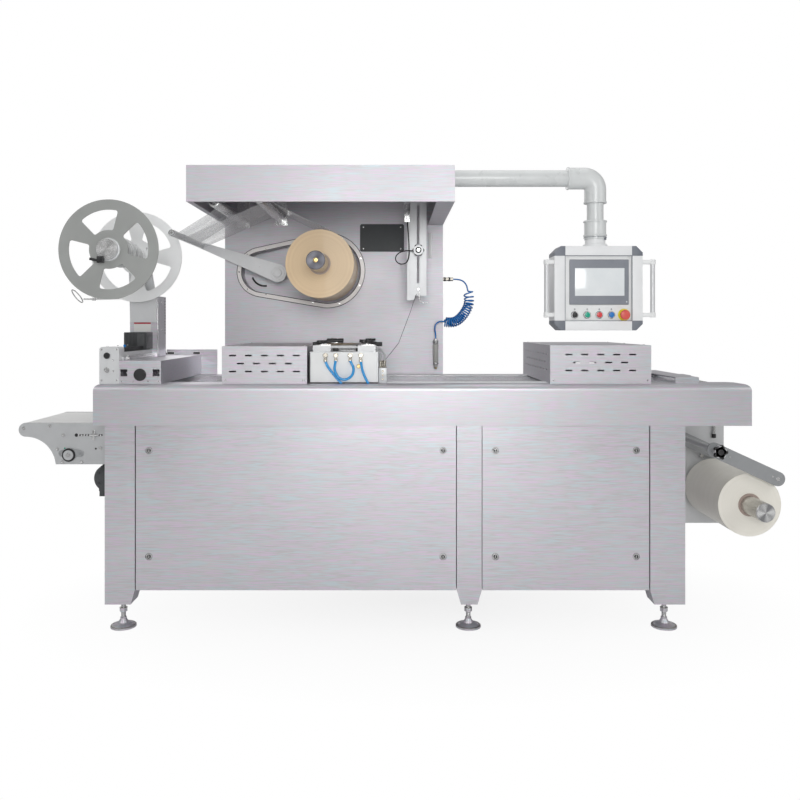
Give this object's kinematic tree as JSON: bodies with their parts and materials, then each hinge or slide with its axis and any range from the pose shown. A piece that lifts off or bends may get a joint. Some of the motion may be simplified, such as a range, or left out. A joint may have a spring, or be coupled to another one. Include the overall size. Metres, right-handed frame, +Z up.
{
  "type": "thermoforming packaging machine",
  "caption": "Thermoforming packaging machine: table with covers, hood and cabinet with lidding film, base film roll, waste reel, outfeed belt and swivelling control panel.",
  "frame": {"origin": "on the floor, below the middle of the operator side of the table", "axes": "+X along the machine towards the base film roll, +Y from the operator side to the rear, +Z up"},
  "size_m": [3.1346, 0.999, 1.794],
  "materials": {
    "brushed_steel": "brushed",
    "machined_plate": "satin",
    "foot_steel": "satin",
    "clear_film": "clear",
    "bright_steel": "polished",
    "dark_plate": "gloss",
    "tan_film": "satin",
    "nickel": "polished",
    "blue_hose": "gloss",
    "reel_plate": "satin",
    "dark_cast": "satin",
    "white_belt": "matte",
    "ivory_film": "satin",
    "grey_paint": "satin",
    "button_plastic": "gloss",
    "brass_fitting": "satin",
    "dark_plastic": "matte"
  },
  "bodies": {
    "machine_frame": {"front_beam": "machined_plate", "rear_beam": "machined_plate", "legs": "brushed_steel", "levelling_feet": "foot_steel", "side_panels": "brushed_steel", "end_panels": "brushed_steel", "bottom_tray": "brushed_steel", "deck": "brushed_steel", "base_film_web": "clear_film", "chain_guards": "machined_plate", "infeed_cover": "brushed_steel", "infeed_roller": "bright_steel", "cabinet": "brushed_steel", "cabinet_door": "brushed_steel", "pocket_rim": "brushed_steel", "nameplate": "dark_plate", "hood": "brushed_steel", "guide_rollers": "bright_steel", "film_arm": "machined_plate", "lidding_bearing": "machined_plate", "lidding_film": "clear_film", "sensor_bracket": "brushed_steel", "seal_cover": "brushed_steel", "heater_cover": "brushed_steel", "forming_unit": "machined_plate", "forming_fittings": "nickel", "forming_hoses": "blue_hose", "cutter_axis": "machined_plate", "cutter_housing": "brushed_steel", "reel_column": "brushed_steel", "reel_bearing": "machined_plate", "reel_motor": "dark_cast", "conveyor_frame": "brushed_steel", "conveyor_belt": "white_belt", "conveyor_motor": "dark_cast", "carrier_plate": "brushed_steel", "hmi_arm": "grey_paint", "air_fittings": "brass_fitting", "air_hose_lead": "blue_hose", "air_hose_coil": "blue_hose", "air_hose_tail": "blue_hose", "air_gun": "dark_plastic"},
    "waste_reel": {"waste_reel": "reel_plate"},
    "lidding_reel": {"lidding_roll": "tan_film", "lidding_shaft": "bright_steel"},
    "base_reel": {"base_roll": "ivory_film", "base_shaft": "bright_steel"},
    "base_film_arm": {"base_arm": "machined_plate"},
    "control_panel": {"hmi_box": "grey_paint", "hmi_screen": "dark_plate", "hmi_controls": "button_plastic", "hmi_handles": "machined_plate"}
  },
  "joints": [
    {"name": "waste_reel_spin", "type": "hinge", "parent": "machine_frame", "child": "waste_reel", "pos_m": [-1.228, 0.2, 1.475], "axis": [0, 1, 0], "continuous": true},
    {"name": "lidding_reel_spin", "type": "hinge", "parent": "machine_frame", "child": "lidding_reel", "pos_m": [-0.421, 0.4, 1.437], "axis": [0, 1, 0], "continuous": true},
    {"name": "base_reel_spin", "type": "hinge", "parent": "machine_frame", "child": "base_reel", "pos_m": [1.38, 0.4, 0.426], "axis": [0, 1, 0], "continuous": true},
    {"name": "base_arm_lift", "type": "hinge", "parent": "machine_frame", "child": "base_film_arm", "pos_m": [1.22, 0.45, 0.661], "axis": [0, -1, 0], "range_deg": [0, 40]},
    {"name": "panel_swivel", "type": "hinge", "parent": "machine_frame", "child": "control_panel", "pos_m": [0.678, 0.05, 1.5], "axis": [0, 0, 1], "range_deg": [-90, 90]}
  ]
}
